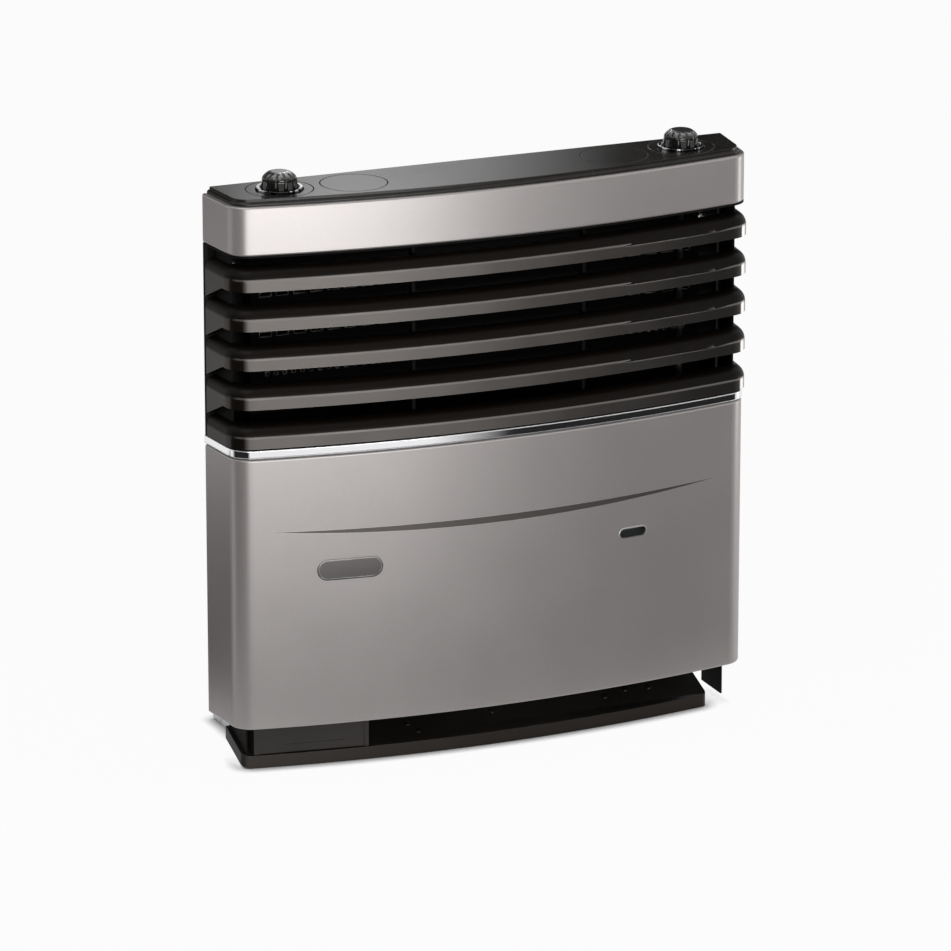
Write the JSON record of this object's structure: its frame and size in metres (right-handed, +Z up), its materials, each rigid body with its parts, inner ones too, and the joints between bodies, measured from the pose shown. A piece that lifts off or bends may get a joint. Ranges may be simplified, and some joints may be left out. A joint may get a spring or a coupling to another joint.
{
  "type": "caravan gas heater",
  "caption": "Room-sealed gas space heater with a bowed grey sheet casing, louvre grille, bright trim strip, black cover with two knobs, wall box, flue and warm-air fan.",
  "frame": {"origin": "on the floor, in the middle of the heater's width, in the plane of the wall that the casing stands against", "axes": "+X to the right as seen from the front, +Y back through the wall, +Z up"},
  "size_m": [0.5282, 0.2815, 0.5649],
  "materials": {
    "casing_paint": "satin metallic",
    "louvre_paint": "satin metallic",
    "grille_black": "matt",
    "bright_trim": "polished",
    "cover_plastic": "satin",
    "knob_plastic": "gloss",
    "clear_glass": "clear",
    "plain_plastic": "matt",
    "zinc_sheet": "galvanised",
    "black_paint": "satin",
    "plain_steel": "brushed",
    "valve_alloy": "as cast",
    "brass_parts": "turned",
    "heater_steel": "heat-proof matt",
    "ceramic": "glazed",
    "seal_rubber": "matt",
    "air_plastic": "matt",
    "motor_paint": "satin",
    "cell_jacket": "gloss"
  },
  "bodies": {
    "heater": {"installation_box": "zinc_sheet", "casing_brackets": "black_paint", "cladding_clips": "zinc_sheet", "valve_shelf": "zinc_sheet", "gas_valve": "valve_alloy", "valve_spring": "plain_steel", "base_tray": "black_paint", "igniter_box": "plain_plastic", "battery": "cell_jacket", "guard_panel": "grille_black", "heat_exchanger": "heater_steel", "sight_frame": "plain_steel", "sight_glass": "clear_glass", "burner_chamber": "heater_steel", "burner": "plain_steel", "burner_jet": "brass_parts", "burner_pipe": "plain_steel", "gas_inlet_pipe": "plain_steel", "spark_electrode": "ceramic", "thermocouple": "brass_parts", "sensor_bulb": "brass_parts", "sensor_clip": "zinc_sheet", "flue_spigot": "plain_steel", "flue_seal": "seal_rubber", "intake_spigot": "air_plastic", "intake_seal": "seal_rubber", "fan_housing": "air_plastic", "fan_motor": "motor_paint"},
    "casing": {"lower_panel": "casing_paint", "window_glass": "clear_glass", "chrome_trim": "bright_trim", "grille_frame": "grille_black", "louvre_slat_1": "louvre_paint", "louvre_slat_2": "louvre_paint", "louvre_slat_3": "louvre_paint", "louvre_slat_4": "louvre_paint", "louvre_slat_5": "louvre_paint", "top_band": "casing_paint", "top_cover": "cover_plastic", "blanking_cap_left": "cover_plastic", "blanking_cap_right": "cover_plastic", "knob_collar_left": "cover_plastic", "knob_collar_right": "cover_plastic", "fan_control": "plain_plastic"},
    "fan_dial": {"fan_knob": "knob_plastic", "fan_knob_ring": "bright_trim", "fan_spindle": "plain_steel"},
    "gas_push": {"push_sleeve": "plain_plastic"},
    "gas_dial": {"gas_knob": "knob_plastic", "gas_knob_ring": "bright_trim", "gas_rod": "plain_steel"},
    "plunger": {"valve_plunger": "brass_parts"},
    "spindle": {"valve_spindle": "plain_steel"},
    "fan_rotor": {"impeller": "air_plastic", "fan_shaft": "plain_steel"},
    "battery_lid": {"battery_cover": "plain_plastic"}
  },
  "joints": [
    {"name": "casing_pull", "type": "slide", "parent": "heater", "child": "casing", "axis": [0, -1, 0], "range_m": [0, 0.15]},
    {"name": "fan_knob_turn", "type": "hinge", "parent": "casing", "child": "fan_dial", "pos_m": [-0.2, -0.03259, 0.55], "axis": [0, 0, -1], "range_deg": [0, 270]},
    {"name": "gas_knob_press", "type": "slide", "parent": "casing", "child": "gas_push", "axis": [0, 0, -1], "range_m": [0, 0.006], "stiffness_N_per_m": 500, "springref_m": -0.02},
    {"name": "gas_knob_turn", "type": "hinge", "parent": "gas_push", "child": "gas_dial", "pos_m": [0.2, -0.03259, 0.55], "axis": [0, 0, 1], "range_deg": [0, 300]},
    {"name": "valve_press", "type": "slide", "parent": "heater", "child": "plunger", "axis": [0, 0, -1], "range_m": [0, 0.006], "deforming": ["valve_spring"]},
    {"name": "valve_turn", "type": "hinge", "parent": "plunger", "child": "spindle", "pos_m": [0.2, -0.03259, 0.12], "axis": [0, 0, 1], "range_deg": [0, 300]},
    {"name": "fan_spin", "type": "hinge", "parent": "heater", "child": "fan_rotor", "pos_m": [0, 0.13, 0.25], "axis": [0, 1, 0], "continuous": true},
    {"name": "battery_slide", "type": "slide", "parent": "heater", "child": "battery_lid", "axis": [0.989, -0.1476, 0], "range_m": [0, 0.09]}
  ],
  "couplings": [
    {"joint": "valve_press", "follows": "gas_knob_press", "ratio": 1},
    {"joint": "valve_turn", "follows": "gas_knob_turn", "ratio": 1}
  ]
}
